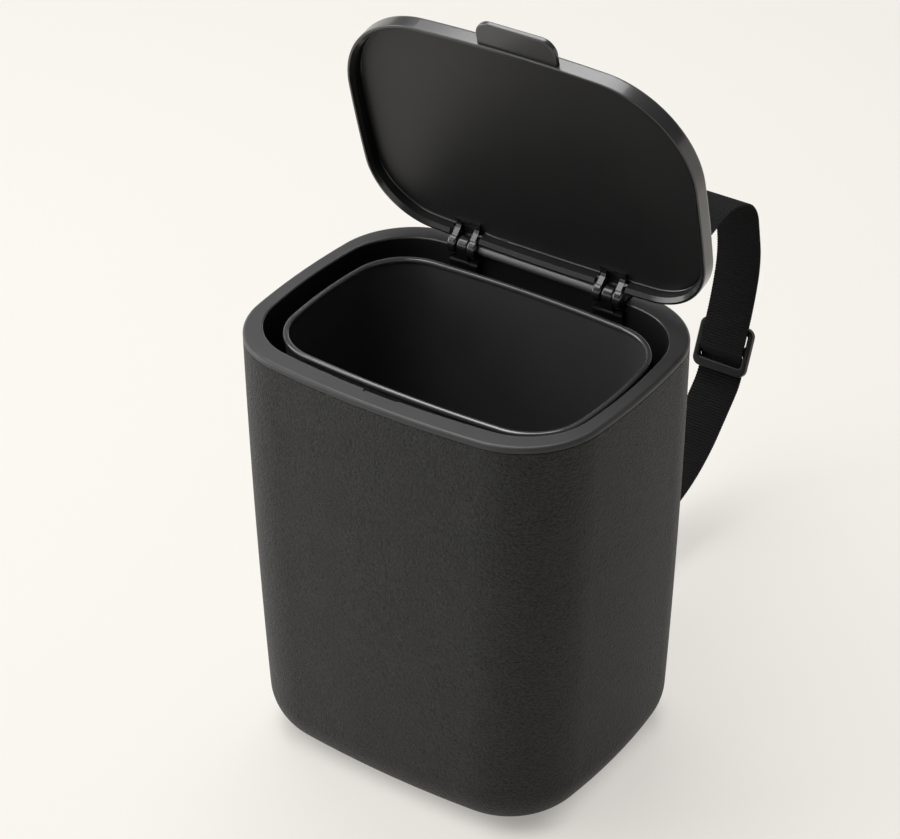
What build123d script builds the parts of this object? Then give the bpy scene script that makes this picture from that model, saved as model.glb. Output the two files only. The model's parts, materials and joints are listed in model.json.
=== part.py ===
from build123d import *
from math import acos, hypot, sqrt, tan
import os

# Car trash bin. Millimetres, +Z up, front towards -Y, origin under the middle of the base.

# Outer body
bin_width = 203.5
bin_depth = 161.4
bin_height = 240.0
front_bow = 9.3
side_bow = 8.3
corner_radius = 45.4
base_side_inset = 7.1
base_end_inset = 0.7
base_front_bow = 7.7
base_side_bow = 10.2
wall_swell = 0.9
base_edge_radius = 27.0
body_wall = 2.6
body_floor = 3.0
parting_chamfer = 0.6
base_pad_width = 124.0
base_pad_depth = 92.0
base_pad_corner = 24.0
base_pad_thickness = 2.0
base_pad_proud = 0.8
base_pad_clearance = 0.1

# Collar that closes the top of the body
cap_thickness = 3.0
cap_edge_radius = 2.0
cap_inner_edge_radius = 1.0
side_rim_width = 8.1
front_rim_width = 11.2
back_rim_width = 12.6
collar_inner_radius = 36.3
collar_wall = 2.2
collar_inner_depth = 26.0
tongue_depth = 8.0
tongue_thickness = 2.0
tongue_clearance = 0.15
notch_width = 20.0
notch_reach = 2.9
notch_depth = 1.2

# Inner bucket, which sits loosely and a little to the right
bucket_side_gap = 6.6
bucket_offset = 3.6
bucket_front_gap = 7.2
bucket_back_gap = 15.5
bucket_front_bow = 5.0
bucket_side_bow = 6.7
bucket_corner_radius = 31.5
bucket_lip_drop = 2.3
bucket_bead_height = 3.0
bucket_bead_radius = 1.3
bucket_wall = 1.6
bucket_draft_inset = 8.0
bucket_edge_radius = 18.0

# Lid
lid_side_setback = 1.0
lid_front_setback = 7.4
lid_front_bow = 5.5
lid_back_bow = 4.3
lid_side_bow = 2.8
lid_front_corner_radius = 51.6
lid_back_corner_radius = 36.5
lid_height = 9.4
lid_panel = 2.4
lid_rim_flat = 1.4
lid_rim_edge_radius = 0.7
lid_bevel = 1.8
lid_cove_radius = 1.0
lid_top_edge_radius = 2.0
lid_pad_step = 0.5
lid_pad_margin = 0.4
lid_closed_gap = 0.3
lid_open_angle = 76.0
tab_width = 45.0
tab_length = 13.0
tab_thickness = 3.2
tab_corner_radius = 8.0
tab_edge_radius = 1.0
tab_offset = 7.0
tab_step = 1.4
tab_overlap = 0.4

# Hinges
hinge_axis_inset = 1.9
hinge_axis_rise = 1.6
hinge_spacing = 87.0
hinge_offset = -1.6
knuckle_diameter = 12.0
middle_knuckle_diameter = 10.4
middle_knuckle_width = 6.4
outer_knuckle_width = 5.0
knuckle_edge_radius = 1.1
knuckle_gap = 0.3
pin_diameter = 3.0
pin_running_clearance = 0.06
pin_fixed_clearance = 0.01
spacer_diameter = 5.6
spacer_clearance = 0.4
hinge_clearance = 0.5
leaf_thickness = 1.8
leaf_height = 9.6
leaf_foot_rise = 6.5
leaf_foot_height = 1.0
leaf_foot_proud = 1.0
hinge_block_drop = 1.0
bracket_reach = 12.6
bracket_width = 15.1
bracket_plate = 1.4
bracket_bar_width = 1.4
bracket_arm_width = 3.0
bracket_arm_inset = 0.5
bracket_sill_width = 1.5
bracket_bend_reach = 8.8
bracket_bend_radius = 3.0
leaf_screw_spacing = 10.0
leaf_screw_rise = 2.4
leaf_screw_head = 3.4
leaf_screw_head_height = 0.6
leaf_screw_shank = 2.2
leaf_screw_length = 6.5
screw_hole_clearance = 0.1

# Strap on the back
webbing_width = 27.0
webbing_thickness = 1.5
webbing_gap = 0.1
fold_gap = 0.5
fold_length = 32.0
fold_lead = 12.0
fold_bend_radius = 4.0
upper_anchor_height = 158.0
lower_anchor_height = 42.0
anchor_bar_diameter = 4.5
anchor_bar_standoff = 8.5
anchor_plate_edge = 1.7
anchor_plate_height = 14.0
anchor_plate_thickness = 2.2
anchor_plate_corner = 3.0
anchor_ear_thickness = 3.0
anchor_ear_radius = 4.2
anchor_side_clearance = 0.8
anchor_screw_clearance = 0.6
anchor_screw_head = 5.6
anchor_screw_head_height = 1.9
anchor_screw_shank = 2.9
anchor_screw_length = 9.0
anchor_pad_proud = 0.8
anchor_pad_margin = 2.0
screw_boss_wall = 2.2
slider_upper_bar = 3.5
slider_middle_bar = 4.0
slider_lower_bar = 5.5
slider_slot = 8.2
slider_thickness = 4.4
slider_side = 3.2
slider_side_clearance = 0.5
slider_corner_radius = 5.0
slider_edge_radius = 1.0
slider_share = 0.54
slider_bend_radius = 2.4

# Corners of the strap's loop: distance behind the body and height
loop_rise = (158.5, 202.5)
loop_shoulder = (185.0, 191.5)
loop_back = (193.5, 150.0)
loop_slider_top = (190.0, 120.0)
loop_slider_foot = (172.5, 76.0)
loop_heel = (136.5, 37.5)
loop_low = (82.0, 23.5)

# Derived places
half_width = bin_width / 2
half_depth = bin_depth / 2
base_level = base_pad_proud
floor_level = base_level + body_floor
body_top = bin_height - cap_thickness
tongue_inset = body_wall + tongue_clearance
inner_half_width = half_width - side_rim_width
inner_front = front_rim_width - half_depth
inner_back = half_depth - back_rim_width
axis_y = inner_back - hinge_axis_inset
axis_z = bin_height + hinge_axis_rise
hinge_axis = Axis((0, axis_y, axis_z), (-1, 0, 0))
knuckle_radius = knuckle_diameter / 2
middle_knuckle_radius = middle_knuckle_diameter / 2
hinge_width = middle_knuckle_width + 2 * (outer_knuckle_width + knuckle_gap)
hinge_left = hinge_offset - hinge_spacing / 2
hinge_right = hinge_offset + hinge_spacing / 2
pocket_floor = axis_z - knuckle_radius - hinge_clearance
pocket_back = axis_y + knuckle_radius + hinge_clearance
lid_rim_level = bin_height + lid_closed_gap
lid_ceiling = lid_rim_level + lid_height - lid_panel
lid_back = axis_y - spacer_diameter / 2 - spacer_clearance
lid_front = lid_front_setback - half_depth
lid_half_width = half_width - lid_side_setback
lid_skirt = lid_rim_flat + lid_bevel
lid_inner_reach = lid_skirt + lid_cove_radius + lid_pad_margin
pad_level = lid_ceiling - lid_pad_step
anchor_ear_inside = webbing_width / 2 + anchor_side_clearance
anchor_ear_outside = anchor_ear_inside + anchor_ear_thickness
anchor_screw_spacing = 2 * (anchor_ear_outside + anchor_screw_clearance) + anchor_screw_head
anchor_plate_width = anchor_screw_spacing + anchor_screw_head + 2 * anchor_plate_edge


def arc_sag(half_span, bow, distance):
    # How far a shallow arc falls back at a distance from its middle.
    radius = (half_span**2 + bow**2) / (2 * bow)
    return radius - sqrt(radius**2 - distance**2)


def corner_arc(half_x, half_y, end_bow, flank_bow, radius):
    # Start, middle and end of a corner arc that is tangent to a bowed flank and a bowed end.
    end_radius = (half_x**2 + end_bow**2) / (2 * end_bow)
    flank_radius = (half_y**2 + flank_bow**2) / (2 * flank_bow)
    end_centre = Vector(0, half_y - end_radius)
    flank_centre = Vector(half_x - flank_radius, 0)
    between = flank_centre - end_centre
    near = end_radius - radius
    far = flank_radius - radius
    along = (near**2 - far**2 + between.length**2) / (2 * between.length)
    across = sqrt(near**2 - along**2)
    direction = between.normalized()
    centre = end_centre + direction * along + Vector(direction.Y, -direction.X) * across
    end_way = (centre - end_centre).normalized()
    flank_way = (centre - flank_centre).normalized()
    middle_way = (end_way + flank_way).normalized()
    return centre + flank_way * radius, centre + middle_way * radius, centre + end_way * radius


def bowed_outline(half_x, front, back, bows, radii):
    # Face bounded by four shallow arcs and four corner arcs; bows and radii run front, back.
    half_y = (back - front) / 2
    front_bow_here, back_bow_here, flank_bow = bows
    front_points = [Vector(p.X, -p.Y) for p in corner_arc(half_x, half_y, front_bow_here, flank_bow, radii[0])]
    back_points = corner_arc(half_x, half_y, back_bow_here, flank_bow, radii[1])
    right = [front_points[2], front_points[1], front_points[0], Vector(half_x, 0), *back_points]
    left = [Vector(-p.X, p.Y) for p in reversed(right)]
    ring = [*right, Vector(0, half_y), *left, Vector(0, -half_y), right[0]]
    arcs = [ThreePointArc(*ring[i : i + 3]) for i in range(0, len(ring) - 2, 2)]
    return Pos(0, (front + back) / 2) * make_face(arcs)


def shell_section(level, inset):
    # Outline of the tapering outer body at one height.
    share = (level - base_level) / (body_top - base_level)
    swell = wall_swell * 4 * share * (1 - share)
    half_x = half_width - base_side_inset * (1 - share) + swell - inset
    half_y = half_depth - base_end_inset * (1 - share) + swell - inset
    end_bow = base_front_bow + (front_bow - base_front_bow) * share
    flank_bow = base_side_bow + (side_bow - base_side_bow) * share
    radius = corner_radius - inset
    return Pos(0, 0, level) * bowed_outline(half_x, -half_y, half_y, (end_bow, end_bow, flank_bow), (radius, radius))


def back_wall(level):
    # Back of the outer body at its middle.
    return half_depth - base_end_inset * (1 - level / bin_height)


def tub(bottom, top, inset, edge_radius):
    # Solid tub with the taper of the outer body and a rounded bottom edge.
    sections = [shell_section(level, inset) for level in (bottom, (bottom + top) / 2, top)]
    solid = loft(sections)
    return fillet(solid.faces().sort_by(Axis.Z)[0].edges(), edge_radius)


def rod(x_from, x_to, y, z, radius):
    # Round bar along X.
    place = Pos((x_from + x_to) / 2, y, z) * Rot(0, 90, 0)
    return place * Cylinder(radius, x_to - x_from)


def block(x_from, x_to, y_from, y_to, z_from, z_to):
    size = (x_to - x_from, y_to - y_from, z_to - z_from)
    return Pos((x_from + x_to) / 2, (y_from + y_to) / 2, (z_from + z_to) / 2) * Box(*size)


def slab(points, x_from, x_to):
    # Plate cut to a side profile of (y, z) points.
    profile = make_face(Polyline(*[(x_from, y, z) for y, z in points], close=True))
    return extrude(profile, x_to - x_from, dir=(1, 0, 0))


def anchor_seat(height):
    # Flat on the back wall that an anchor is screwed to.
    return back_wall(height) + wall_swell + anchor_pad_proud


def anchor_pad(height):
    width = anchor_plate_width + 2 * anchor_pad_margin
    tall = anchor_plate_height + 2 * anchor_pad_margin
    seat = Plane((0, anchor_seat(height), height), x_dir=(1, 0, 0), z_dir=(0, -1, 0))
    outline = RectangleRounded(width, tall, anchor_plate_corner + anchor_pad_margin)
    sag = arc_sag(half_width, front_bow, width / 2)
    pad = extrude(seat * outline, anchor_pad_proud + wall_swell + sag + body_wall / 2)
    return fillet(pad.faces().sort_by(Axis.Y)[-1].edges(), anchor_pad_proud / 2)


def screw_places(height):
    seat = anchor_seat(height)
    return [Pos(side * anchor_screw_spacing / 2, seat, height) * Rot(90, 0, 0) for side in (-1, 1)]


def screw_boss(height):
    # Bosses inside the back wall that take the anchor screws.
    length = anchor_screw_length
    bosses = Cylinder(anchor_screw_shank / 2 + screw_boss_wall, length, align=(Align.CENTER, Align.CENTER, Align.MIN))
    return Part() + [place * bosses for place in screw_places(height)]


def screw_hole(height):
    length = anchor_screw_length - anchor_plate_thickness
    radius = (anchor_screw_shank + screw_hole_clearance) / 2
    hole = Cylinder(radius, length, align=(Align.CENTER, Align.CENTER, Align.MIN))
    return Part() + [place * hole for place in screw_places(height)]


def pad_solid(clearance):
    # Soft pad under the base, or with a clearance its recess.
    reach = 2 * clearance
    outline = RectangleRounded(base_pad_width + reach, base_pad_depth + reach, base_pad_corner + clearance)
    return extrude(outline, base_pad_thickness)


def outer_body():
    heights = (upper_anchor_height, lower_anchor_height)
    parting = body_top - parting_chamfer
    outside = tub(base_level, parting, 0, base_edge_radius)
    outside += loft([shell_section(parting, 0), shell_section(body_top, parting_chamfer)], ruled=True)
    outside += [anchor_pad(height) for height in heights]
    shell = outside - tub(floor_level, body_top, body_wall, base_edge_radius - body_wall)
    shell += [screw_boss(height) for height in heights]
    shell -= [screw_hole(height) for height in heights]
    return shell - pad_solid(base_pad_clearance)


def base_pad():
    pad = pad_solid(0)
    return fillet(pad.faces().sort_by(Axis.Z)[0].edges(), base_pad_proud / 2)


def collar_opening(outset, bottom, top):
    # Solid with the outline of the collar's mouth, let out all round.
    half_x = inner_half_width + outset
    radius = collar_inner_radius + outset
    bows = (front_bow, front_bow, side_bow)
    outline = bowed_outline(half_x, inner_front - outset, inner_back + outset, bows, (radius, radius))
    return extrude(Pos(0, 0, bottom) * outline, top - bottom)


def leaf_seat():
    # Flat in front of the collar's inner back wall that both hinge leaves stand on.
    far_end = hinge_spacing / 2 + abs(hinge_offset) + hinge_width / 2
    return inner_back - arc_sag(inner_half_width, front_bow, far_end)


def leaf_screw_places(middle):
    level = pocket_floor - leaf_height + leaf_screw_rise
    front = leaf_seat() - leaf_thickness
    return [Pos(middle + side * leaf_screw_spacing / 2, front, level) * Rot(-90, 0, 0) for side in (-1, 1)]


def leaf_screw(clearance):
    # Countersunk screw along +Z, its head flush at zero.
    shank = Cylinder(leaf_screw_shank / 2 + clearance, leaf_screw_length, align=(Align.CENTER, Align.CENTER, Align.MIN))
    head = Cone(
        leaf_screw_head / 2 + clearance,
        leaf_screw_shank / 2 + clearance,
        leaf_screw_head_height,
        align=(Align.CENTER, Align.CENTER, Align.MIN),
    )
    return shank + head


def hinge_room(middle):
    # Pocket in the collar's back edge that the knuckles turn in.
    reach = hinge_width / 2 + hinge_clearance
    return block(middle - reach, middle + reach, leaf_seat() - leaf_thickness, pocket_back, pocket_floor, bin_height * 1.1)


def spacer_room():
    # Step along the collar's back edge that the spacer tube lies over.
    reach = spacer_diameter / 2 + spacer_clearance
    return block(hinge_left, hinge_right, axis_y - reach, axis_y + reach, axis_z - reach, bin_height * 1.1)


def hinge_block(middle):
    # Solid between the collar's inner wall and its tongue that carries a hinge.
    bottom = pocket_floor - leaf_height - hinge_block_drop
    reach = hinge_width / 2 + hinge_clearance
    sag = arc_sag(half_width - tongue_inset, front_bow, abs(middle))
    back = half_depth - tongue_inset - tongue_thickness / 2 - sag
    return block(middle - reach, middle + reach, leaf_seat(), back, bottom, body_top)


def rim_collar():
    cap = extrude(shell_section(body_top, 0), cap_thickness)
    cap = fillet(cap.faces().sort_by(Axis.Z)[-1].edges(), cap_edge_radius)
    tongue = extrude(shell_section(body_top, tongue_inset), -tongue_depth)
    tongue -= extrude(shell_section(body_top, tongue_inset + tongue_thickness), -tongue_depth)
    inner_wall = collar_opening(collar_wall, bin_height - collar_inner_depth, body_top)
    collar = cap + tongue + inner_wall
    collar -= collar_opening(0, bin_height - collar_inner_depth, bin_height)
    mouth = collar.faces().filter_by(Axis.Z).sort_by(Axis.Z)[-1].inner_wires()[0]
    collar = fillet(mouth.edges(), cap_inner_edge_radius)
    collar += [hinge_block(middle) for middle in (hinge_left, hinge_right)]
    collar -= [hinge_room(middle) for middle in (hinge_left, hinge_right)]
    collar -= spacer_room()
    for middle in (hinge_left, hinge_right):
        collar -= [place * leaf_screw(screw_hole_clearance / 2) for place in leaf_screw_places(middle)]
    notch = block(
        -notch_width / 2,
        notch_width / 2,
        inner_front - notch_reach,
        inner_front + notch_reach,
        bin_height - notch_depth,
        bin_height + notch_depth,
    )
    return collar - fillet(notch.edges().filter_by(Axis.Z), notch_reach * 0.8)


def bucket_section(level, inset):
    # Outline of the bucket, with its draft towards the bottom.
    top = bin_height - bucket_lip_drop
    draft = bucket_draft_inset * (top - level) / (top - floor_level)
    half_x = inner_half_width - bucket_side_gap - inset - draft
    front = inner_front + bucket_front_gap + inset + draft
    back = inner_back - bucket_back_gap - inset - draft
    radius = bucket_corner_radius - inset - draft / 2
    bows = (bucket_front_bow, bucket_front_bow, bucket_side_bow)
    return Pos(bucket_offset, 0, level) * bowed_outline(half_x, front, back, bows, (radius, radius))


def bucket_tub(bottom, inset, edge_radius):
    top = bin_height - bucket_lip_drop
    solid = loft([bucket_section(bottom, inset), bucket_section(top, inset)])
    return fillet(solid.faces().sort_by(Axis.Z)[0].edges(), edge_radius)


def inner_bucket():
    top = bin_height - bucket_lip_drop
    wall_inset = (bucket_bead_height - bucket_wall) / 2
    bead = extrude(bucket_section(top, 0), -bucket_bead_height)
    bead -= extrude(bucket_section(top, bucket_bead_height), -bucket_bead_height)
    flat = bead.faces().filter_by(Axis.Z)
    bead = fillet(flat.edges(), bucket_bead_radius)
    shell = bucket_tub(floor_level, wall_inset, bucket_edge_radius)
    trim = bead.faces().sort_by(Axis.Z)[-1].center().Z - bucket_bead_height / 2
    shell = split(shell, Plane.XY.offset(trim), keep=Keep.BOTTOM)
    inside = bucket_tub(floor_level + bucket_wall, wall_inset + bucket_wall, bucket_edge_radius - bucket_wall)
    return shell - inside + bead


def lid_outline(level, inset):
    bows = (lid_front_bow, lid_back_bow, lid_side_bow)
    radii = (lid_front_corner_radius - inset, lid_back_corner_radius - inset)
    return Pos(0, 0, level) * bowed_outline(lid_half_width - inset, lid_front + inset, lid_back - inset, bows, radii)


def finger_tab():
    root = lid_front + arc_sag(lid_half_width, lid_front_bow, tab_width / 2 + tab_offset) + tab_overlap
    tip = lid_front - tab_length
    level = lid_rim_level + tab_step
    tab = block(tab_offset - tab_width / 2, tab_offset + tab_width / 2, tip, root, level, level + tab_thickness)
    tip_edges = tab.edges().filter_by(Axis.Z).sort_by(Axis.Y)[:2]
    tab = fillet(tip_edges, tab_corner_radius)
    faces = tab.faces().filter_by(Axis.Z)
    free_edges = [edge for edge in faces.edges() if edge.center().Y < root - tab_overlap]
    return fillet(free_edges, tab_edge_radius)


def closed_lid():
    shape = extrude(lid_outline(lid_rim_level, 0), lid_height)
    shape = fillet(shape.faces().sort_by(Axis.Z)[-1].edges(), lid_top_edge_radius)
    shape = fillet(shape.faces().sort_by(Axis.Z)[0].edges(), lid_rim_edge_radius)
    hollow = extrude(lid_outline(lid_rim_level, lid_skirt), lid_ceiling - lid_rim_level)
    hollow = fillet(hollow.faces().sort_by(Axis.Z)[-1].edges(), lid_cove_radius)
    shape -= hollow
    rim = shape.faces().filter_by(Axis.Z).sort_by(Axis.Z)[0].inner_wires()[0]
    shape = chamfer(rim.edges(), lid_bevel)
    shape += extrude(lid_outline(lid_ceiling, lid_inner_reach), -lid_pad_step)
    shape += finger_tab()
    reach = hinge_width / 2 + hinge_clearance
    for middle in (hinge_left, hinge_right):
        y_from = lid_back - lid_inner_reach
        shape -= block(middle - reach, middle + reach, y_from, axis_y, bin_height, lid_ceiling)
    return shape


def opened(shape):
    return shape.rotate(hinge_axis, lid_open_angle)


def outer_knuckle_spans(middle):
    inside = middle_knuckle_width / 2 + knuckle_gap
    outside = inside + outer_knuckle_width
    return [(middle - outside, middle - inside), (middle + inside, middle + outside)]


def knuckle(x_from, x_to, radius):
    # Barrel on the hinge axis with rounded ends.
    barrel = rod(x_from, x_to, axis_y, axis_z, radius)
    return fillet(barrel.edges().filter_by(GeomType.CIRCLE), knuckle_edge_radius)


def bracket_arm(x_from, x_to):
    # S-shaped arm from the plate on the lid's pad to the front of a knuckle.
    front = axis_y - bracket_reach
    bend = axis_y - bracket_bend_reach
    profile = [
        (front, pad_level),
        (front, pad_level - bracket_plate),
        (bend, pad_level - bracket_plate),
        (axis_y - knuckle_radius * 0.968, axis_z - knuckle_radius * 0.25),
        (axis_y, axis_z),
        (axis_y - knuckle_radius * 0.3, axis_z + knuckle_radius * 0.86),
        (bend, pad_level),
    ]
    arm = slab(profile, x_from, x_to)
    corner = arm.edges().filter_by(Axis.X).sort_by_distance((x_from, bend, pad_level - bracket_plate))[0]
    return fillet(corner, bracket_bend_radius)


def closed_bracket(middle):
    # Goose-neck bracket: a window frame on the lid's pad and two arms that end in knuckles.
    left = middle - bracket_width / 2
    right = middle + bracket_width / 2
    arm_left = left + bracket_arm_inset
    arm_right = right - bracket_arm_inset
    bracket = bracket_arm(arm_left, arm_left + bracket_arm_width)
    bracket += bracket_arm(arm_right - bracket_arm_width, arm_right)
    bracket += [knuckle(x_from, x_to, knuckle_radius) for x_from, x_to in outer_knuckle_spans(middle)]
    front = axis_y - bracket_reach
    bracket += block(left, right, front, front + bracket_bar_width, pad_level - bracket_plate, pad_level)
    sill = (middle_knuckle_radius + hinge_clearance) * sqrt(0.5)
    sill_front = axis_y - sill - bracket_sill_width
    bracket += block(arm_left, arm_right, sill_front, axis_y - sill, axis_z + sill, pad_level)
    half = hinge_width / 2
    return bracket - rod(middle - half, middle + half, axis_y, axis_z, pin_diameter / 2 + pin_running_clearance)


def hinge_leaf(middle):
    # Plate on the collar with a foot rib and the middle knuckle.
    seat = leaf_seat()
    front = seat - leaf_thickness
    bottom = pocket_floor - leaf_height
    foot = bottom + leaf_foot_rise
    half = hinge_width / 2
    leaf = block(middle - half, middle + half, front, seat, bottom, pocket_floor)
    leaf += block(middle - half, middle + half, front - leaf_foot_proud, seat, foot, foot + leaf_foot_height)
    neck = [
        (front, foot),
        (seat, foot),
        (seat, pocket_floor),
        (axis_y + middle_knuckle_radius * 0.6, axis_z - middle_knuckle_radius * 0.8),
        (axis_y, axis_z),
        (axis_y - middle_knuckle_radius * 0.97, axis_z - middle_knuckle_radius * 0.24),
    ]
    x_from = middle - middle_knuckle_width / 2
    x_to = middle + middle_knuckle_width / 2
    leaf += slab(neck, x_from, x_to)
    leaf += knuckle(x_from, x_to, middle_knuckle_radius)
    leaf -= rod(x_from, x_to, axis_y, axis_z, pin_diameter / 2 + pin_fixed_clearance)
    return leaf - [place * leaf_screw(0) for place in leaf_screw_places(middle)]


def leaf_screws():
    screws = Part()
    for middle in (hinge_left, hinge_right):
        screws += [place * leaf_screw(0) for place in leaf_screw_places(middle)]
    return screws


def hinge_pin():
    return rod(hinge_left - hinge_width / 2, hinge_right + hinge_width / 2, axis_y, axis_z, pin_diameter / 2)


def hinge_spacer_tube():
    x_from = hinge_left + hinge_width / 2 + knuckle_gap
    x_to = hinge_right - hinge_width / 2 - knuckle_gap
    tube = rod(x_from, x_to, axis_y, axis_z, spacer_diameter / 2)
    return tube - rod(x_from, x_to, axis_y, axis_z, pin_diameter / 2 + pin_fixed_clearance)


def strap_anchor(height):
    # Screwed plate with two ears and the bar that the webbing is sewn round.
    seat = anchor_seat(height)
    face = Plane((0, seat, height), x_dir=(-1, 0, 0), z_dir=(0, 1, 0))
    outline = RectangleRounded(anchor_plate_width, anchor_plate_height, anchor_plate_corner)
    plate = extrude(face * outline, anchor_plate_thickness)
    bar_y = seat + anchor_bar_standoff
    ear_from = anchor_ear_inside
    ear_to = anchor_ear_outside
    for x_from, x_to in ((-ear_to, -ear_from), (ear_from, ear_to)):
        plate += block(x_from, x_to, seat, bar_y, height - anchor_ear_radius, height + anchor_ear_radius)
        plate += rod(x_from, x_to, bar_y, height, anchor_ear_radius)
    plate += rod(-ear_to, ear_to, bar_y, height, anchor_bar_diameter / 2)
    hole = Cylinder((anchor_screw_shank + screw_hole_clearance) / 2, 4 * anchor_plate_thickness)
    return plate - [place * hole for place in screw_places(height)]


def anchor_screws():
    shank = Pos(0, 0, -anchor_plate_thickness) * Cylinder(
        anchor_screw_shank / 2,
        anchor_screw_length - anchor_plate_thickness,
        align=(Align.CENTER, Align.CENTER, Align.MIN),
    )
    head = Pos(0, 0, -anchor_plate_thickness) * Cylinder(
        anchor_screw_head / 2,
        anchor_screw_head_height,
        align=(Align.CENTER, Align.CENTER, Align.MAX),
    )
    head = fillet(head.faces().sort_by(Axis.Z)[0].edges(), anchor_screw_head_height * 0.6)
    screws = Part()
    for height in (upper_anchor_height, lower_anchor_height):
        screws += [place * (shank + head) for place in screw_places(height)]
    return screws


def behind(corner):
    # A corner of the loop as a point in the side view.
    return Vector(half_depth + corner[0], corner[1])


def slider_line():
    # Place of the slider's middle bar and its upward direction on its run of the loop.
    top = behind(loop_slider_top)
    foot = behind(loop_slider_foot)
    return top + (foot - top) * slider_share, (top - foot).normalized()


def anchor_bar(height):
    return Vector(anchor_seat(height) + anchor_bar_standoff, height)


def fold_corners(bar, towards, side):
    # Webbing end sewn back on itself round an anchor bar, as (point, bend radius) from its free end.
    wrap = anchor_bar_diameter / 2 + webbing_gap + webbing_thickness / 2
    straight = (towards - bar).normalized()
    lean = wrap / (towards - bar).length
    along = straight * sqrt(1 - lean**2) - Vector(-straight.Y, straight.X) * side * lean
    out = Vector(-along.Y, along.X) * side
    tail = wrap - webbing_thickness - fold_gap
    return [
        (bar + along * fold_length + out * tail, 0),
        (bar + along * fold_lead + out * tail, fold_bend_radius),
        (bar + along * wrap - out * wrap, fold_bend_radius),
        (bar - along * wrap - out * wrap, wrap),
        (bar - along * wrap + out * wrap, wrap),
    ]


def strap_route():
    # Corners of the webbing's middle line from one sewn end to the other.
    middle, up = slider_line()
    out = Vector(up.Y, -up.X)
    ride = slider_thickness / 2 + webbing_gap + webbing_thickness / 2
    slot_top = slider_middle_bar / 2 + webbing_thickness / 2
    slot_foot = slider_middle_bar / 2 + slider_slot - webbing_thickness / 2
    upper = fold_corners(anchor_bar(upper_anchor_height), behind(loop_rise), 1)
    lower = fold_corners(anchor_bar(lower_anchor_height), behind(loop_low), -1)
    return [
        *upper,
        (behind(loop_rise), None),
        (behind(loop_shoulder), None),
        (behind(loop_back), None),
        (behind(loop_slider_top) - out * ride, None),
        (middle - up * slot_top - out * ride, slider_bend_radius),
        (middle - up * slot_foot + out * ride, slider_bend_radius),
        (behind(loop_slider_foot) + out * ride, None),
        (behind(loop_heel), None),
        (behind(loop_low), None),
        *reversed(lower),
    ]


def bend_radius(before, corner, after):
    # Largest bend that leaves room for the bends at both neighbours.
    way_in = (corner - before).normalized()
    way_out = (after - corner).normalized()
    turn = acos(max(-1.0, min(1.0, way_in.dot(way_out))))
    return 0.46 * min((corner - before).length, (after - corner).length) / tan(turn / 2)


def webbing_side(route, shift):
    # Lines and arcs that run beside the route, shifted to its left.
    points = [point for point, radius in route]
    ways = [(b - a).normalized() for a, b in zip(points, points[1:])]
    lefts = [Vector(-way.Y, way.X) for way in ways]
    edges = []
    here = points[0] + lefts[0] * shift
    for i in range(1, len(points) - 1):
        radius = route[i][1] or bend_radius(points[i - 1], points[i], points[i + 1])
        turn = ways[i - 1].cross(ways[i]).Z
        radius -= shift if turn > 0 else -shift
        corner = points[i] + (lefts[i - 1] + lefts[i]) * (shift / (1 + lefts[i - 1].dot(lefts[i])))
        half_turn = acos(max(-1.0, min(1.0, ways[i - 1].dot(ways[i])))) / 2
        start = corner - ways[i - 1] * (radius * tan(half_turn))
        end = corner + ways[i] * (radius * tan(half_turn))
        inward = (ways[i] - ways[i - 1]).normalized()
        centre_reach = hypot(radius, radius * tan(half_turn))
        middle = corner + inward * (centre_reach - radius)
        if (start - here).length > 0.001:
            edges.append(Line(here, start))
        edges.append(ThreePointArc(start, middle, end))
        here = end
    last = points[-1] + lefts[-1] * shift
    edges.append(Line(here, last))
    return edges, points[0] + lefts[0] * shift, last


def strap_webbing():
    route = strap_route()
    left, left_start, left_end = webbing_side(route, webbing_thickness / 2)
    right, right_start, right_end = webbing_side(route, -webbing_thickness / 2)
    band = make_face([*left, *right, Line(left_start, right_start), Line(left_end, right_end)])
    side_view = Plane((0, 0, 0), x_dir=(0, 1, 0), z_dir=(1, 0, 0))
    return extrude(side_view * band, webbing_width / 2, both=True)


def strap_slider():
    middle, up = slider_line()
    opening = webbing_width + 2 * slider_side_clearance
    length = slider_upper_bar + slider_slot + slider_middle_bar + slider_slot + slider_lower_bar
    drop = (slider_lower_bar - slider_upper_bar) / 2
    frame = Pos(0, -drop) * RectangleRounded(opening + 2 * slider_side, length, slider_corner_radius)
    slot = RectangleRounded(opening, slider_slot, slider_edge_radius * 2)
    step = (slider_slot + slider_middle_bar) / 2
    frame -= [Pos(0, step) * slot, Pos(0, -step) * slot]
    solid = extrude(frame, slider_thickness / 2, both=True)
    solid = fillet(solid.faces().filter_by(Axis.Z).edges(), slider_edge_radius)
    seat = Plane((0, middle.X, middle.Y), x_dir=(1, 0, 0), z_dir=(0, -up.Y, up.X))
    return seat * solid


nodes = {
    "outer_body": outer_body(),
    "rim_collar": rim_collar(),
    "inner_bucket": inner_bucket(),
    "lid": opened(closed_lid()),
    "lid_hinge_bracket_left": opened(closed_bracket(hinge_left)),
    "lid_hinge_bracket_right": opened(closed_bracket(hinge_right)),
    "hinge_leaf_left": hinge_leaf(hinge_left),
    "hinge_leaf_right": hinge_leaf(hinge_right),
    "leaf_screws": leaf_screws(),
    "hinge_pin": hinge_pin(),
    "hinge_spacer_tube": hinge_spacer_tube(),
    "strap_webbing": strap_webbing(),
    "strap_slider": strap_slider(),
    "strap_anchor_upper": strap_anchor(upper_anchor_height),
    "strap_anchor_lower": strap_anchor(lower_anchor_height),
    "anchor_screws": anchor_screws(),
    "base_pad": base_pad(),
}

os.makedirs("parts", exist_ok=True)
for name, shape in nodes.items():
    export_step(shape, f"parts/{name}.step")
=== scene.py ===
import json
import math

import bpy
from mathutils import Matrix, Vector


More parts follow.
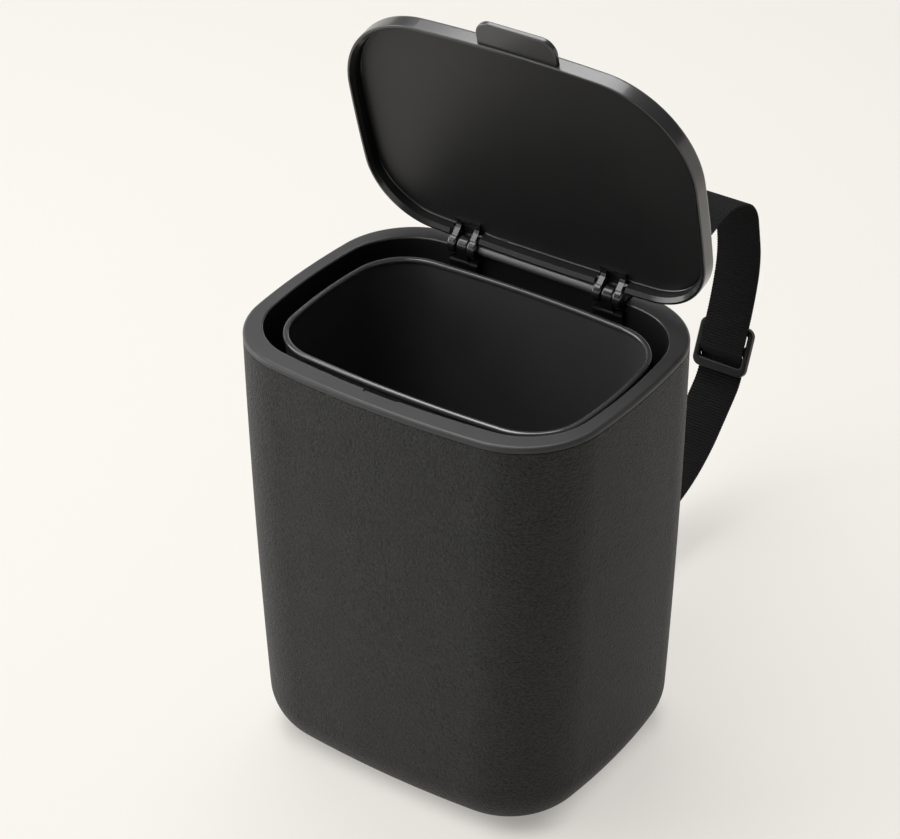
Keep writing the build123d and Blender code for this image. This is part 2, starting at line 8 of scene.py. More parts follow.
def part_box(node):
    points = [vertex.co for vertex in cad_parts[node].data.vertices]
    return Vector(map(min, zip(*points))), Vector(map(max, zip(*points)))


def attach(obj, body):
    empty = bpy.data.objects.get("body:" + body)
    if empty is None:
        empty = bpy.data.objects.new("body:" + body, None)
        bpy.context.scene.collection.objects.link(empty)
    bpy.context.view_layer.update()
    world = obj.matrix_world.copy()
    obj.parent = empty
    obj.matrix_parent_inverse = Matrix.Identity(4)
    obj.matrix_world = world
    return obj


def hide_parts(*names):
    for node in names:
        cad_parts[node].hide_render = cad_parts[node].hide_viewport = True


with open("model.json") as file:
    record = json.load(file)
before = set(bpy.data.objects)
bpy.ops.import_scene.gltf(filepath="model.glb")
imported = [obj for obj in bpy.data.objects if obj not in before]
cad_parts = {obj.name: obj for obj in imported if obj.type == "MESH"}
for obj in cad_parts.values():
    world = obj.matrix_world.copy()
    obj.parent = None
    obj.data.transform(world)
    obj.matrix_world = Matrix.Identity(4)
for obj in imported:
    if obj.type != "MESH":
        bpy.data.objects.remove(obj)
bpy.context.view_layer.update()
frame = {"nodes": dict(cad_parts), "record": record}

nodes = frame["nodes"]
hingeAxis = Vector(frame["record"]["behaviour"]["joints"][0]["pos_m"])
print("frame loaded, nodes:", len(nodes))


class Wire:  # a shader socket that takes plain arithmetic
    def __init__(self, paint, socket):
        self.paint = paint
        self.socket = socket

    def both(self, operation, first, second):
        return self.paint.add("ShaderNodeMath", {"operation": operation}, {0: first, 1: second})

    def __add__(self, other):
        return self.both("ADD", self, other)

    def __radd__(self, other):
        return self.both("ADD", other, self)

    def __sub__(self, other):
        return self.both("SUBTRACT", self, other)

    def __rsub__(self, other):
        return self.both("SUBTRACT", other, self)

    def __mul__(self, other):
        return self.both("MULTIPLY", self, other)

    def __rmul__(self, other):
        return self.both("MULTIPLY", other, self)


class Paint:  # one material and the nodes that are added to it
    def __init__(self, name):
        self.material = bpy.data.materials.new(name)
        self.material.use_nodes = True
        self.tree = self.material.node_tree
        self.shader = self.tree.nodes["Principled BSDF"]

    def add(self, kind, settings=None, sockets=None, out=0):
        node = self.tree.nodes.new(kind)
        for key, value in (settings or {}).items():
            setattr(node, key, value)
        for key, value in (sockets or {}).items():
            self.plug(node, key, value)
        return Wire(self, node.outputs[out])

    def plug(self, node, key, value):
        if isinstance(value, Wire):
            self.tree.links.new(value.socket, node.inputs[key])
        else:
            node.inputs[key].default_value = value

    def finish(self, **sockets):
        for key, value in sockets.items():
            self.plug(self.shader, key.replace("_", " "), value)
        return self.material

    def coordinates(self, kind="Object"):
        return self.add("ShaderNodeTexCoord", out=kind)

    def noise(self, place, scale, detail, rough):
        sockets = {"Vector": place, "Scale": scale, "Detail": detail, "Roughness": rough}
        return self.add("ShaderNodeTexNoise", None, sockets)

    def cells(self, place, scale):
        sockets = {"Vector": place, "Scale": scale}
        return self.add("ShaderNodeTexVoronoi", {"feature": "SMOOTH_F1"}, sockets)

    def wave(self, place, scale, direction="X", wobble=0.0):
        sockets = {"Vector": place, "Scale": scale, "Distortion": wobble}
        return self.add("ShaderNodeTexWave", {"bands_direction": direction}, sockets)

    def bump(self, height, strength, distance):
        sockets = {"Height": height, "Strength": strength, "Distance": distance}
        return self.add("ShaderNodeBump", None, sockets)

    def vectors(self, operation, *values):
        out = "Value" if operation in ("DOT_PRODUCT", "LENGTH") else "Vector"
        return self.add("ShaderNodeVectorMath", {"operation": operation}, dict(enumerate(values)), out)

    def dot(self, first, second):
        return self.vectors("DOT_PRODUCT", first, second)

    def ramp(self, value, span, results=(0.0, 1.0), kind="LINEAR"):
        sockets = {0: value, 1: span[0], 2: span[1], 3: results[0], 4: results[1]}
        return self.add("ShaderNodeMapRange", {"interpolation_type": kind}, sockets)

    def shades(self, factor, dark, light):
        sockets = {0: factor, 6: (*dark, 1), 7: (*light, 1)}
        return self.add("ShaderNodeMix", {"data_type": "RGBA"}, sockets, 2)


def deselectAll():
    if bpy.context.mode != "OBJECT":
        bpy.ops.object.mode_set(mode="OBJECT")
    bpy.ops.object.select_all(action="DESELECT")


def applyPlace():
    bpy.ops.object.transform_apply(location=True, rotation=True, scale=True)


def applyModifier(piece, kind, **settings):
    modifier = piece.modifiers.new(kind.title(), kind)
    for key, value in settings.items():
        setattr(modifier, key, value)
    bpy.context.view_layer.objects.active = piece
    bpy.ops.object.modifier_apply(modifier=modifier.name)


def closeMesh(mergeWithin=None):
    # merges doubles where asked, and turns every face outwards
    bpy.ops.mesh.select_all(action="SELECT")
    if mergeWithin:
        bpy.ops.mesh.remove_doubles(threshold=mergeWithin)
    bpy.ops.mesh.normals_make_consistent(inside=False)
    bpy.ops.object.mode_set(mode="OBJECT")


def dress(names, material):
    for name in names:
        nodes[name].data.materials.clear()
        nodes[name].data.materials.append(material)


# grained outer shell
shellLook = {
    "dark": (0.018, 0.018, 0.0182),
    "light": (0.051, 0.051, 0.0516),
    "pebble": 1000.0,  # cells per metre
    "crease": (620.0, 4.0, 0.65),  # scale, detail and roughness of a noise
    "fine": (2600.0, 3.0, 0.6),
    "drift": (60.0, 3.0, 0.55),
    "heights": {"pebble": 0.8, "crease": 0.9, "fine": 0.3},
    "relief": 0.0011,
    "tones": {"pebble": 0.3, "crease": 0.85, "drift": 0.15},
    "toneSpan": (0.16, 0.54),
    "rough": 0.43,
    "roughness": {"pebble": 0.06, "fine": 0.14},
    "gloss": 0.17,
}


def grainedShell():
    paint = Paint("grainedShell")
    place = paint.coordinates()
    pebble = paint.cells(place, shellLook["pebble"])
    crease, fine, drift = [paint.noise(place, *shellLook[key]) for key in ("crease", "fine", "drift")]
    heights, tones, roughness = [shellLook[key] for key in ("heights", "tones", "roughness")]
    grain = 1 - pebble * heights["pebble"] + crease * heights["crease"] + fine * heights["fine"]
    blend = crease * tones["crease"] + drift * tones["drift"] - pebble * tones["pebble"]
    tone = paint.ramp(blend, shellLook["toneSpan"])
    paint.finish(
        Base_Color=paint.shades(tone, shellLook["dark"], shellLook["light"]),
        Roughness=shellLook["rough"] + fine * roughness["fine"] - pebble * roughness["pebble"],
        Normal=paint.bump(grain, 1.0, shellLook["relief"]),
    )
    return paint.finish(Specular_IOR_Level=shellLook["gloss"])


# smooth satin mouldings, whose tones on the lid and collar also carry painted light and shade
satinLooks = {
    "collarSatin": {"dark": 0.014, "light": 0.061, "rough": 0.34, "gloss": 0.26, "coat": 0.0},
    "lidSatin": {"dark": 0.0155, "light": 0.044, "rough": 0.46, "gloss": 0.4, "coat": 0.0},
    "bucketSatin": {"dark": 0.056, "light": 0.067, "rough": 0.3, "gloss": 0.5, "coat": 0.4},
    "hingeBlack": {"dark": 0.011, "light": 0.0145, "rough": 0.22, "gloss": 0.6, "coat": 0.7},
    "rodSatin": {"dark": 0.085, "light": 0.1, "rough": 0.42, "gloss": 1.0, "coat": 0.3},
    "sliderBlack": {"dark": 0.008, "light": 0.011, "rough": 0.36, "gloss": 0.2, "coat": 0.0},
}
satinGrain = {
    "tint": (1.0, 1.0, 1.013),  # the blacks lean a little to blue
    "fine": (5200.0, 2.0, 0.5),  # scale, detail and roughness of a noise
    "drift": (45.0, 3.0, 0.55),
    "relief": (0.05, 0.0002),
    "roughOffset": -0.04,
    "roughByDrift": 0.05,
    "roughByFine": 0.06,
    "coatRough": 0.14,
}
# smoother handled edges, and where light and shade are painted into the tone
finishAndPaintedLight = {
    "polish": 0.16,  # how much smoother the handled edges are than the faces
    "coat": 0.55,
    "paintedLightShare": 0.8,  # share of the painted light and shade mask in the tone
    "lipSpan": (-0.0035, -0.0025),  # from the bucket's top
    "lidAngle": 76.0,  # of the open lid in the rest pose
    "lidMiddle": 0.07,  # from the hinge axis to the lid's middle
    "panelSpan": (-0.003, -0.0043),  # from the hinge axis along the lid's inside normal
    "panelFacing": (0.8, 0.95),  # squared cosines to that normal
    "outsideSpan": (0.01, 0.03),  # from the lid's middle along a face's normal
    "tabSpan": (0.1405, 0.1415),  # from the hinge axis to the tab
    "innerSpan": (-0.006, -0.02),  # from the bin's middle along a face's normal
    "upFacing": (0.1, 0.35),  # cosines to the vertical
}


def satin(name, areas=None):
    look = satinLooks[name]
    paint = Paint(name)
    place = paint.coordinates()
    fine, tone = [paint.noise(place, *satinGrain[key]) for key in ("fine", "drift")]
    normal = paint.bump(fine, *satinGrain["relief"])
    dark, light = [tuple(look[key] * c for c in satinGrain["tint"]) for key in ("dark", "light")]
    rough = look["rough"] + satinGrain["roughOffset"]
    rough = rough + tone * satinGrain["roughByDrift"] + fine * satinGrain["roughByFine"]
    coat = look["coat"]
    if areas:
        smooth, pale = areas(paint, place)
        rough = rough - smooth * finishAndPaintedLight["polish"]
        coat = smooth * finishAndPaintedLight["coat"] + coat
        # the pale mask is painted light and shade: it pulls the tone lighter or darker by where a face lies
        if pale:
            tone = tone * (1 - finishAndPaintedLight["paintedLightShare"]) + pale * finishAndPaintedLight["paintedLightShare"]
    paint.finish(Specular_IOR_Level=look["gloss"], Coat_Weight=coat, Coat_Roughness=satinGrain["coatRough"])
    return paint.finish(Base_Color=paint.shades(tone, dark, light), Roughness=rough, Normal=normal)


def lidFinishAndPaintedLight(paint, place):
    # the rim, skirt and tab are smoother than the panel, and the outside and the tab are painted paler,
    # painted light on the faces that catch it
    angle = math.radians(finishAndPaintedLight["lidAngle"])
    inward = Vector((0, -math.sin(angle), -math.cos(angle)))
    forward = Vector((0, -math.cos(angle), math.sin(angle)))
    normal = paint.coordinates("Normal")
    facing = paint.dot(normal, inward)
    height = paint.dot(place, inward) - inward.dot(hingeAxis)
    reach = paint.dot(place, forward) - forward.dot(hingeAxis)
    fromMiddle = paint.vectors("SUBTRACT", place, hingeAxis + forward * finishAndPaintedLight["lidMiddle"])
    level = paint.ramp(height, finishAndPaintedLight["panelSpan"])
    panel = level * paint.ramp(facing * facing, finishAndPaintedLight["panelFacing"])
    outside = paint.ramp(paint.dot(normal, fromMiddle), finishAndPaintedLight["outsideSpan"])
    return 1 - panel, outside + paint.ramp(reach, finishAndPaintedLight["tabSpan"])


def bucketAreas(paint, place):
    # the bead round the mouth is smoother
    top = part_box("inner_bucket")[1].z
    span = [top + step for step in finishAndPaintedLight["lipSpan"]]
    return paint.ramp(paint.dot(place, (0, 0, 1)), span), None


def collarFinishAndPaintedShade(paint, place):
    # the rounded inner edge is smoother, and the wall below it is darker, painted shade in the collar's
    # recess
    normal = paint.coordinates("Normal")
    flat = paint.vectors("MULTIPLY", place, (1, 1, 0))
    inner = paint.ramp(paint.dot(normal, flat), finishAndPaintedLight["innerSpan"])
    upward = paint.ramp(paint.dot(normal, (0, 0, 1)), finishAndPaintedLight["upFacing"])
    return inner * upward, 1 - inner * (1 - upward)


# metal and rubber
plainLooks = {
    "drawnSteel": {
        "dark": (0.42, 0.42, 0.43),
        "light": (0.56, 0.56, 0.57),
        "grain": (700.0, 2.0, 0.5),  # scale, detail and roughness of a noise
        "rough": (0.24, 0.16),  # least value and spread
        "metal": 1.0,
    },
    "blackScrew": {
        "dark": (0.018, 0.018, 0.018),
        "light": (0.03, 0.03, 0.03),
        "grain": (900.0, 2.0, 0.5),
        "rough": (0.34, 0.16),
        "metal": 0.6,
    },
    "softPad": {
        "dark": (0.02, 0.02, 0.02),
        "light": (0.034, 0.034, 0.034),
        "grain": (1500.0, 3.0, 0.6),
        "rough": (0.75, 0.15),
        "relief": (0.2, 0.0003),
    },
}


def plainPaint(name, look):
    paint = Paint(name)
    grain = paint.noise(paint.coordinates(), *look["grain"])
    least, spread = look["rough"]
    if "relief" in look:
        paint.finish(Normal=paint.bump(grain, *look["relief"]))
    paint.finish(Metallic=look.get("metal", 0.0), Roughness=least + grain * spread)
    return paint.finish(Base_Color=paint.shades(grain, look["dark"], look["light"]))


steel, screw, pad = [plainPaint(name, look) for name, look in plainLooks.items()]
hingeBlack = satin("hingeBlack")
dress(["outer_body"], grainedShell())
dress(["rim_collar"], satin("collarSatin", collarFinishAndPaintedShade))
dress(["inner_bucket"], satin("bucketSatin", bucketAreas))
dress(["lid"], satin("lidSatin", lidFinishAndPaintedLight))
dress(["lid_hinge_bracket_left", "lid_hinge_bracket_right"], hingeBlack)
dress(["hinge_leaf_left", "hinge_leaf_right"], hingeBlack)
dress(["hinge_spacer_tube"], satin("rodSatin"))
dress(["strap_slider", "strap_anchor_upper", "strap_anchor_lower"], satin("sliderBlack"))
dress(["leaf_screws", "anchor_screws"], screw)
dress(["hinge_pin"], steel)
dress(["base_pad"], pad)
print("materials on the moulded pieces")


# webbing loop behind the bin, metres but for the loop's points
strapSpec = {
    "width": 0.0278,
    "core": 0.0009,  # thickness between the ribs
    "ribPitch": 0.0017,
    "ribHeight": 0.0005,
    "ribRows": 4,
    "ribProfile": (((1, 3), 0.7), ((2,), 1.0)),  # rows of a rib and their share of its height
    "across": 10,
    "smoothAngle": 50.0,
    "back": 0.0807,  # half the bin's depth
    "loop": [
        (158.5, 202.5),  # millimetres behind the bin and above the floor
        (185, 191.5),
        (193.5, 150),
        (190, 120),
        (172.5, 76),
        (136.5, 37.5),
        (82, 23.5),
    ],
    "wrap": 0.0031,  # middle of the webbing round an anchor bar
    "earRadius": 0.0042,
    "foldLength": 0.032,
    "foldLead": 0.012,
    "foldStep": 0.002,
    "foldBend": 0.004,
    "sliderShare": 0.54,  # the slider's place between the loop's fourth and fifth points
    "ride": 0.00305,  # middle of the webbing beside a slider bar
    "slotTop": 0.00275,
    "slotFoot": 0.00945,
    "slotBend": 0.0024,
    "freeShare": 0.46,  # of the shorter side that a free bend takes up
    "curveSteps": 16,
    "endHandle": 1e-3,
    "knotHandle": 1e-4,
}
webbingLook = {
    "dark": (0.0015, 0.0015, 0.0016),
    "light": (0.011, 0.011, 0.0113),
    "yarn": (420.0, "Y", 0.6),  # scale, direction and wobble of a wave
    "twill": (520.0, "DIAGONAL", 0.4),
    "fuzz": (2400.0, 3.0, 0.6),  # scale, detail and roughness of a noise
    "waveTurn": 20.0,  # radians per unit in a wave of scale one
    "heights": {"yarn": 0.5, "twill": 0.3, "fuzz": 0.3},
    "relief": (0.4, 0.00025),
    # the rib band in the tones is painted light and shade on the ribs; yarn and fuzz are the weave's own
    # tone
    "tones": {"paintedRibLight": 0.6, "yarn": 0.15, "fuzz": 0.25},
    "rough": (0.7, 0.2),  # least value and spread
    "gloss": 0.16,
}


def loopPoints():
    return [Vector((strapSpec["back"] + y / 1000, z / 1000)) for y, z in strapSpec["loop"]]


def anchorBar(node):
    low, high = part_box(node)
    return Vector((high.y - strapSpec["earRadius"], (low.z + high.z) / 2))


def sewnFold(bar, towards, side):
    # corners of the webbing round an anchor bar, each with the radius of its bend
    wrap = strapSpec["wrap"]
    straight = (towards - bar).normalized()
    lean = wrap / (towards - bar).length
    square = Vector((-straight.y, straight.x)) * side
    along = straight * math.sqrt(1 - lean * lean) - square * lean
    out = Vector((-along.y, along.x)) * side
    tail = wrap - strapSpec["foldStep"]
    return [
        (bar + along * strapSpec["foldLength"] + out * tail, 0),
        (bar + along * strapSpec["foldLead"] + out * tail, strapSpec["foldBend"]),
        (bar + along * wrap - out * wrap, strapSpec["foldBend"]),
        (bar - along * wrap - out * wrap, wrap),
        (bar - along * wrap + out * wrap, wrap),
    ]


def strapRoute():
    loop = loopPoints()
    top, foot = loop[3], loop[4]
    middle = top + (foot - top) * strapSpec["sliderShare"]
    up = (top - foot).normalized()
    out = Vector((up.y, -up.x)) * strapSpec["ride"]
    upper = sewnFold(anchorBar("strap_anchor_upper"), loop[0], 1)
    lower = sewnFold(anchorBar("strap_anchor_lower"), loop[6], -1)
    return [
        *upper,
        (loop[0], None),
        (loop[1], None),
        (loop[2], None),
        (top - out, None),
        (middle - up * strapSpec["slotTop"] - out, strapSpec["slotBend"]),
        (middle - up * strapSpec["slotFoot"] + out, strapSpec["slotBend"]),
        (foot + out, None),
        (loop[5], None),
        (loop[6], None),
        *reversed(lower),
    ]


def bendKnots(before, corner, after, radius):
    # two knots of a round bend, each as left handle, point and right handle
    wayIn, wayOut = (corner - before).normalized(), (after - corner).normalized()
    turn = wayIn.angle(wayOut)
    if radius is None:
        shorter = min((corner - before).length, (after - corner).length)
        radius = strapSpec["freeShare"] * shorter / math.tan(turn / 2)
    reach = radius * math.tan(turn / 2)
    pull = radius * 4 / 3 * math.tan(turn / 4)
    start, end = corner - wayIn * reach, corner + wayOut * reach
    hold = strapSpec["knotHandle"]
    first = (start - wayIn * hold, start, start + wayIn * pull)
    second = (end - wayOut * pull, end, end + wayOut * hold)
    return [first, second]


def endKnot(before, after, point):
    run = (after - before).normalized() * strapSpec["endHandle"]
    return (point - run, point, point + run)


def routeCurve(name, corners):
    # bezier curve in its own XY plane with one round bend at each corner
    places = [corner for corner, radius in corners]
    knots = [endKnot(places[0], places[1], places[0])]
    for i, (corner, radius) in enumerate(corners[1:-1], 1):
        knots += bendKnots(places[i - 1], corner, places[i + 1], radius)
    knots.append(endKnot(places[-2], places[-1], places[-1]))
    data = bpy.data.curves.new(name, "CURVE")
    data.dimensions = "2D"
    data.resolution_u = strapSpec["curveSteps"]
    spline = data.splines.new("BEZIER")
    spline.bezier_points.add(len(knots) - 1)
    for point, (left, middle, right) in zip(spline.bezier_points, knots):
        point.handle_left_type = "FREE"
        point.handle_right_type = "FREE"
        point.co = (*middle, 0)
        point.handle_left = (*left, 0)
        point.handle_right = (*right, 0)
    curve = bpy.data.objects.new(name, data)
    bpy.context.scene.collection.objects.link(curve)
    return curve


sideTurn = Matrix(((0, 0, 1, 0), (1, 0, 0, 0), (0, 1, 0, 0), (0, 0, 0, 1)))  # local XYZ to world YZX


def webbing(length, pitch):
    paint = Paint("blackWebbing")
    size = (length, strapSpec["width"], 1.0)
    stretch = paint.add("ShaderNodeMapping", None, {"Vector": paint.coordinates("UV"), "Scale": size})
    yarn, twill = [paint.wave(stretch, *webbingLook[key]) for key in ("yarn", "twill")]
    paintedRibLight = paint.wave(stretch, 2 * math.pi / pitch / webbingLook["waveTurn"])  # one band to a rib, painted light: lighter on the crests, darker in the grooves
    fuzz = paint.noise(paint.coordinates(), *webbingLook["fuzz"])
    heights, tones = webbingLook["heights"], webbingLook["tones"]
    weave = yarn * heights["yarn"] + twill * heights["twill"] + fuzz * heights["fuzz"]
    tone = paintedRibLight * tones["paintedRibLight"] + yarn * tones["yarn"] + fuzz * tones["fuzz"]
    least, spread = webbingLook["rough"]
    paint.finish(Normal=paint.bump(weave, *webbingLook["relief"]), Roughness=least + fuzz * spread)
    paint.finish(Base_Color=paint.shades(tone, webbingLook["dark"], webbingLook["light"]))
    return paint.finish(Specular_IOR_Level=webbingLook["gloss"])


def liftRows(strap, length, rows, chosen, height):
    for vertex in strap.data.vertices:
        row = round(vertex.co.x / length * rows)
        vertex.select = row % strapSpec["ribRows"] in chosen
    for part in (*strap.data.edges, *strap.data.polygons):
        part.select = False
    bpy.ops.object.mode_set(mode="EDIT")
    bpy.ops.mesh.select_mode(type="VERT")
    bpy.ops.transform.translate(value=(0, height, 0))
    bpy.ops.object.mode_set(mode="OBJECT")


def buildStrap():
    curve = routeCurve("strapRoute", strapRoute())
    length = curve.data.splines[0].calc_length()
    ribs = int(length / strapSpec["ribPitch"])
    rows = ribs * strapSpec["ribRows"]
    deselectAll()
    bpy.ops.mesh.primitive_grid_add(x_subdivisions=rows, y_subdivisions=strapSpec["across"], size=1)
    strap = bpy.context.active_object
    strap.name = "ribbed_webbing"
    strap.location = (length / 2, 0, 0)
    strap.rotation_euler = (math.pi / 2, 0, 0)
    strap.scale = (length, strapSpec["width"], 1)
    applyPlace()
    for chosen, share in strapSpec["ribProfile"]:
        liftRows(strap, length, rows, chosen, strapSpec["ribHeight"] * share)
    applyModifier(strap, "SOLIDIFY", thickness=strapSpec["core"], offset=0)
    strap.location = (0, -strapSpec["ribHeight"] / 2, 0)
    applyPlace()
    applyModifier(strap, "CURVE", object=curve, deform_axis="POS_X")
    strap.matrix_world = sideTurn
    applyPlace()
    bpy.data.objects.remove(curve)
    bpy.ops.object.shade_smooth_by_angle(angle=math.radians(strapSpec["smoothAngle"]))
    strap.data.materials.append(webbing(length, length / ribs))
    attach(strap, "bin")
    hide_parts("strap_webbing")
    print("webbing loop, length", round(length, 4), "faces", len(strap.data.polygons))


buildStrap()


# sewn boxes that close the webbing's folds at the anchors
stitchSpec = {
    "length": 0.0024,
    "width": 0.0006,
    "height": 0.0005,
    "round": 0.0002,
    "roundSteps": 2,
    "pitch": 0.0031,
    "fewest": 2,  # stitches on a line
    "boxFrom": 0.0145,  # along the fold, from the anchor's bar
    "boxTo": 0.0295,
    "boxHalf": 0.0102,  # across the webbing
    "lift": 0.0006,  # from the middle of a layer to the middle of the thread
    "smoothAngle": 50.0,
    "thread": {
        "dark": (0.012, 0.012, 0.0122),
        "light": (0.024, 0.024, 0.0244),
        "grain": (3800.0, 2.0, 0.5),
        "rough": (0.55, 0.2),
        "relief": (0.3, 0.0002),
    },
}


def oneStitch():
    deselectAll()
    bpy.ops.mesh.primitive_cube_add(size=1)
    stitch = bpy.context.active_object
    stitch.scale = (stitchSpec["length"], stitchSpec["width"], stitchSpec["height"])
    applyPlace()
    bpy.ops.object.mode_set(mode="EDIT")
    bpy.ops.mesh.select_all(action="SELECT")
    bpy.ops.mesh.bevel(offset=stitchSpec["round"], segments=stitchSpec["roundSteps"])
    bpy.ops.object.mode_set(mode="OBJECT")
    return stitch


def boxLines():
    # sides and diagonals of the sewn box, as (across, along) pairs
    half, near, far = stitchSpec["boxHalf"], stitchSpec["boxFrom"], stitchSpec["boxTo"]
    corners = [Vector(corner) for corner in ((-half, near), (half, near), (half, far), (-half, far))]
    sides = [(corners[i], corners[(i + 1) % 4]) for i in range(4)]
    return sides + [(corners[0], corners[2]), (corners[1], corners[3])]


def foldFrame(node, towards, side):
    bar = anchorBar(node)
    tailEnd, lead = [corner for corner, radius in sewnFold(bar, towards, side)[:2]]
    along = (tailEnd - lead).normalized()
    out = Vector((-along.y, along.x)) * side
    return bar, along, out


def stitchPlaces():
    # one matrix for each stitch, on both faces of both folds
    loop = loopPoints()
    folds = [foldFrame("strap_anchor_upper", loop[0], 1), foldFrame("strap_anchor_lower", loop[6], -1)]
    outer = strapSpec["wrap"] + stitchSpec["lift"]
    inner = strapSpec["wrap"] - strapSpec["foldStep"] - stitchSpec["lift"]
    places = []
    for bar, along, out in folds:
        turn = Matrix(((1, 0, 0), (0, along.x, out.x), (0, along.y, out.y))).to_4x4()
        for level in (outer, inner):
            ground = Matrix.Translation((0, *(bar + out * level))) @ turn
            for start, end in boxLines():
                run = end - start
                count = max(stitchSpec["fewest"], round(run.length / stitchSpec["pitch"]))
                aim = Matrix.Rotation(math.atan2(run.y, run.x), 4, "Z")
                for i in range(count):
                    spot = start + run * (i + 0.5) / count
                    places.append(ground @ Matrix.Translation((*spot, 0)) @ aim)
    return places


def buildStitches():
    places = stitchPlaces()
    pattern = oneStitch()
    copies = []
    for place in places:
        stitch = pattern.copy()
        stitch.data = pattern.data.copy()
        stitch.matrix_world = place
        bpy.context.scene.collection.objects.link(stitch)
        copies.append(stitch)
    bpy.data.objects.remove(pattern)
    deselectAll()
    for stitch in copies:
        stitch.select_set(True)
    bpy.context.view_layer.objects.active = copies[0]
    bpy.ops.object.join()
    applyPlace()
    bpy.ops.object.mode_set(mode="EDIT")
    closeMesh()
    bpy.ops.object.shade_smooth_by_angle(angle=math.radians(stitchSpec["smoothAngle"]))
    sewing = bpy.context.active_object
    sewing.name = "fold_stitching"
    sewing.data.materials.clear()
    sewing.data.materials.append(plainPaint("sewingThread", stitchSpec["thread"]))
    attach(sewing, "bin")
    print("sewn folds, stitches", len(copies), "faces", len(sewing.data.polygons))


buildStitches()


# curved webs of the lid's brackets, behind the middle knuckles
webSpec = {
    "halfWidth": 0.0038,
    "inner": 0.0055,  # from the hinge axis
    "outer": 0.00595,
    "fromAngle": 22.0,  # above the back, at rest
    "toAngle": 62.0,
    "steps": 8,
    "mergeWithin": 1e-6,
    "smoothAngle": 40.0,
}


def buildWeb(leaf, name):
    low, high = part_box(leaf)
    centre = Vector(((low.x + high.x) / 2, hingeAxis.y, hingeAxis.z))
    deselectAll()
    bpy.ops.mesh.primitive_plane_add(size=1)
    web = bpy.context.active_object
    web.name = name
    web.scale = (2 * webSpec["halfWidth"], webSpec["outer"] - webSpec["inner"], 1)
    web.location = (0, (webSpec["outer"] + webSpec["inner"]) / 2, 0)
    applyPlace()
    web.rotation_euler = (math.radians(webSpec["toAngle"]), 0, 0)
    web.location = centre
    applyPlace()
    bpy.ops.object.mode_set(mode="EDIT")
    bpy.ops.mesh.select_all(action="SELECT")
    sweep = math.radians(webSpec["toAngle"] - webSpec["fromAngle"])  # spin turns downwards here
    bpy.ops.mesh.spin(steps=webSpec["steps"], angle=sweep, center=centre, axis=(1, 0, 0))
    closeMesh(webSpec["mergeWithin"])
    bpy.ops.object.shade_smooth_by_angle(angle=math.radians(webSpec["smoothAngle"]))
    web.data.materials.append(hingeBlack)
    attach(web, "lid_group")
    print(name, "faces", len(web.data.polygons))


buildWeb("hinge_leaf_left", "bracket_web_left")
buildWeb("hinge_leaf_right", "bracket_web_right")


# floor, light and camera
stageSpec = {
    "floor": (0.8, 0.775, 0.733),
    "floorRough": 0.8,
    "floorDrift": (2.0, 2.0, 0.5),  # scale, detail and roughness of a noise
    "floorDark": 0.99,  # least share of the floor's colour
    "card": (0.957, 0.929, 0.875),
    "cardShare": 0.65,
    "cardFade": (1.0, 3.0),  # from the middle, where the card takes over
    "footHalf": (0.062, 0.046, 0),  # of the pad that the bin stands on
    "footFade": (0.01, 0.033),  # from the pad, where the card begins
    "footShare": 0.5,
    "floorSize": 12.0,
    "wall": {"radius": 5.9, "height": 2.0, "sides": 96},
    "world": (1.0, 0.985, 0.96),
    "worldLight": 0.04,
    "aim": (0.0, 0.02, 0.14),
    "lamps": {
        "keyLeft": {"place": (-1.58, -0.82, 0.79), "size": 1.5, "power": 20.5},
        "backHigh": {"place": (-0.55, 0.57, 1.88), "size": 1.2, "power": 27.0},
        "frontHigh": {"place": (-0.5, -0.57, 1.88), "size": 1.2, "power": 17.0},
    },
}


def paleCard(name, share):
    # the camera and reflections see partly a plain pale card, so that shadows stay soft
    paint = Paint(name)
    place = paint.coordinates()
    drift = paint.noise(place, *stageSpec["floorDrift"])
    light = stageSpec["floor"]
    dark = [c * stageSpec["floorDark"] for c in light]
    paint.finish(Base_Color=paint.shades(drift, dark, light), Roughness=stageSpec["floorRough"])
    rays = ("Is Camera Ray", "Is Glossy Ray", "Is Transmission Ray")
    seen = sum(paint.add("ShaderNodeLightPath", out=ray) for ray in rays)
    fade = paint.ramp(paint.vectors("LENGTH", place), stageSpec["cardFade"], (share, 1.0))
    apart = paint.vectors("SUBTRACT", paint.vectors("ABSOLUTE", place), stageSpec["footHalf"])
    gap = paint.vectors("LENGTH", paint.vectors("MAXIMUM", apart, (0, 0, 0)))
    contact = paint.ramp(gap, stageSpec["footFade"], (stageSpec["footShare"], 1.0), "SMOOTHSTEP")
    lit = Wire(paint, paint.shader.outputs[0])
    card = paint.add("ShaderNodeEmission", None, {"Color": (*stageSpec["card"], 1), "Strength": 1.0})
    mixed = paint.add("ShaderNodeMixShader", None, {0: seen * fade * contact, 1: lit, 2: card})
    paint.plug(paint.tree.nodes["Material Output"], "Surface", mixed)
    return paint.material


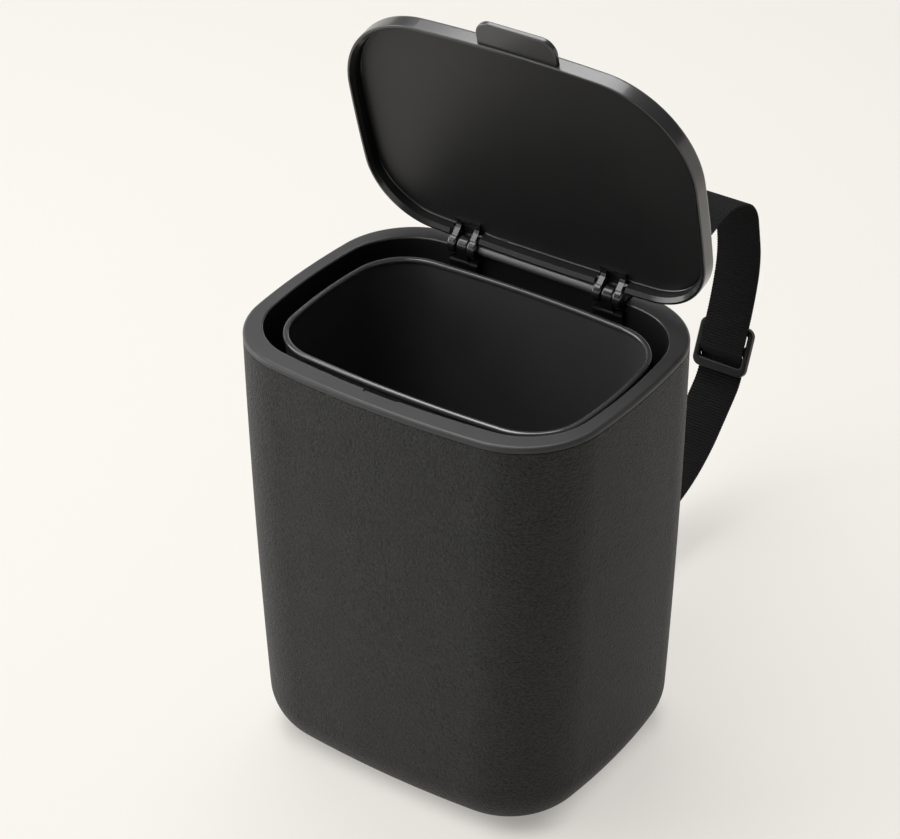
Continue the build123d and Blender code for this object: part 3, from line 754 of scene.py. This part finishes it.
def buildStage():
    deselectAll()
    bpy.ops.mesh.primitive_plane_add(size=stageSpec["floorSize"], location=(0, 0, 0))
    floor = bpy.context.active_object
    floor.name = "floor"
    floor.data.materials.append(paleCard("paleFloor", stageSpec["cardShare"]))
    size = stageSpec["wall"]
    bpy.ops.mesh.primitive_cylinder_add(
        vertices=size["sides"],
        radius=size["radius"],
        depth=size["height"],
        end_fill_type="NOTHING",
        location=(0, 0, size["height"] / 2),
    )
    wall = bpy.context.active_object
    wall.name = "backdrop"
    wall.data.materials.append(paleCard("paleBackdrop", 1.0))
    world = bpy.data.worlds.new("softRoom")
    world.use_nodes = True
    sky = world.node_tree.nodes["Background"]
    sky.inputs["Color"].default_value = (*stageSpec["world"], 1)
    sky.inputs["Strength"].default_value = stageSpec["worldLight"]
    bpy.context.scene.world = world
    for name, lamp in stageSpec["lamps"].items():
        light = bpy.data.lights.new(name, "AREA")
        light.size = lamp["size"]
        light.energy = lamp["power"]
        thing = bpy.data.objects.new(name, light)
        thing.location = lamp["place"]
        aim = Vector(stageSpec["aim"]) - Vector(lamp["place"])
        thing.rotation_euler = aim.to_track_quat("-Z", "Y").to_euler()
        bpy.context.scene.collection.objects.link(thing)


cameraSpec = {
    "place": (0.67599, -0.97442, 0.97293),
    "yaw": 35.14,
    "pitch": 33.5,
    "roll": -0.54,
    "lens": 114.56,
    "sensor": 36,
}


def buildCamera():
    data = bpy.data.cameras.new("photoView")
    data.sensor_width = cameraSpec["sensor"]
    data.lens = cameraSpec["lens"]
    camera = bpy.data.objects.new("photoView", data)
    turn = Matrix.Rotation(math.radians(cameraSpec["yaw"]), 4, "Z")
    turn = turn @ Matrix.Rotation(math.radians(90 - cameraSpec["pitch"]), 4, "X")
    turn = turn @ Matrix.Rotation(math.radians(cameraSpec["roll"]), 4, "Z")
    camera.matrix_world = Matrix.Translation(cameraSpec["place"]) @ turn
    bpy.context.scene.collection.objects.link(camera)
    bpy.context.scene.camera = camera


buildStage()
buildCamera()
bpy.context.scene.view_settings.view_transform = "Standard"
print("stage and camera")
